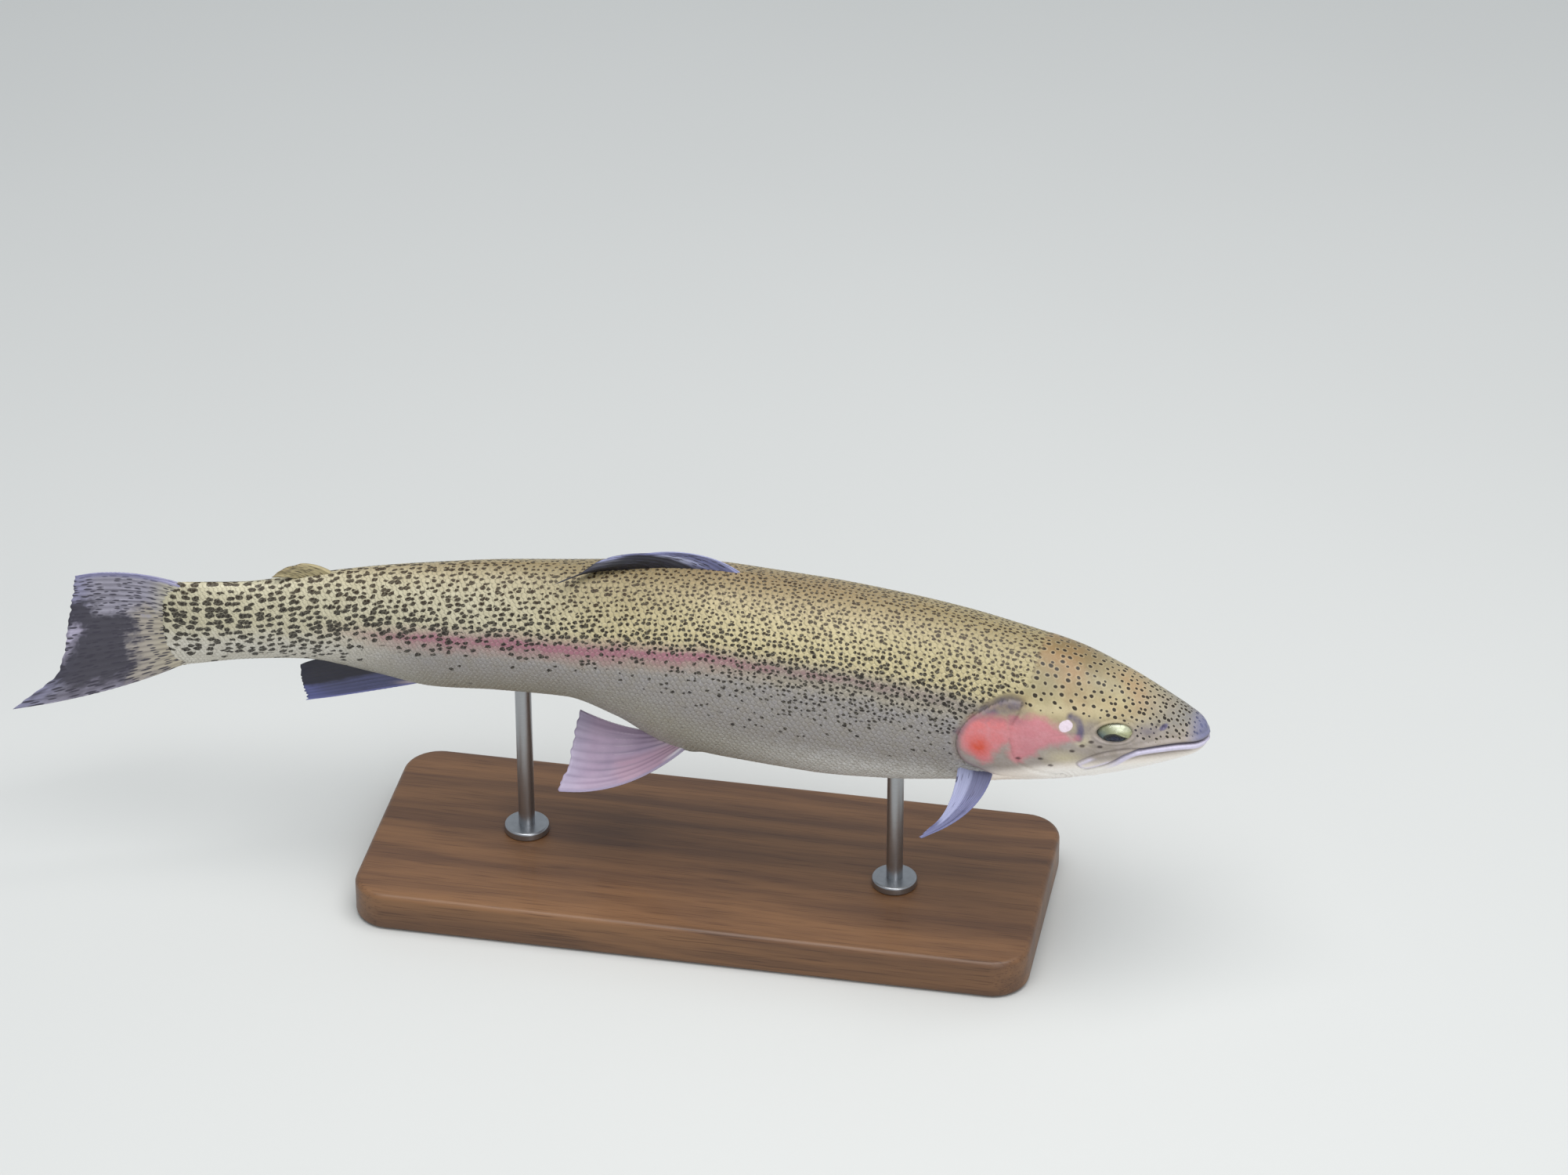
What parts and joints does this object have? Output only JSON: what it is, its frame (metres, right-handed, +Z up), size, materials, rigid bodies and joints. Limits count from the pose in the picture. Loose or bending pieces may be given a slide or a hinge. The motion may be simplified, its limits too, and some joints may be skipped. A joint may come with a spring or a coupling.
{
  "type": "life-size rainbow trout model on a display stand",
  "caption": "Still, life-size museum model of an adult rainbow trout, swimming with head and tail curved to its right, held by rods on a flat wooden base.",
  "frame": {"origin": "centre of the underside of the stand's base", "axes": "+X along the base towards the fish's snout, +Y to the fish's left, +Z up"},
  "size_m": [0.5789, 0.1516, 0.1902],
  "materials": {
    "skin": "wet fish skin: olive back with black-brown spots, dusky rose stripe, silver-grey belly",
    "eye": "clear glossy eye, olive-gold iris round a blue-black pupil",
    "fin": "satin, blue-purple grey membrane over fine rays, thin pale leading edges",
    "stand_wood": "satin varnished dark wood",
    "stand_steel": "brushed"
  },
  "bodies": {
    "root": {"head": "skin", "lower_jaw": "skin", "maxilla_right": "skin", "maxilla_left": "skin", "gill_cover_right": "skin", "gill_cover_left": "skin", "eye_right": "eye", "eye_left": "eye", "trunk_front": "skin", "trunk_middle": "skin", "tail_stem": "skin", "dorsal_fin": "fin", "adipose_fin": "fin", "caudal_fin": "fin", "anal_fin": "fin", "pelvic_fin_right": "fin", "pelvic_fin_left": "fin", "pectoral_fin_right": "fin", "pectoral_fin_left": "fin", "stand_base": "stand_wood", "stand_rod_front": "stand_steel", "stand_rod_rear": "stand_steel", "stand_collar_front": "stand_steel", "stand_collar_rear": "stand_steel"}
  },
  "joints": []
}
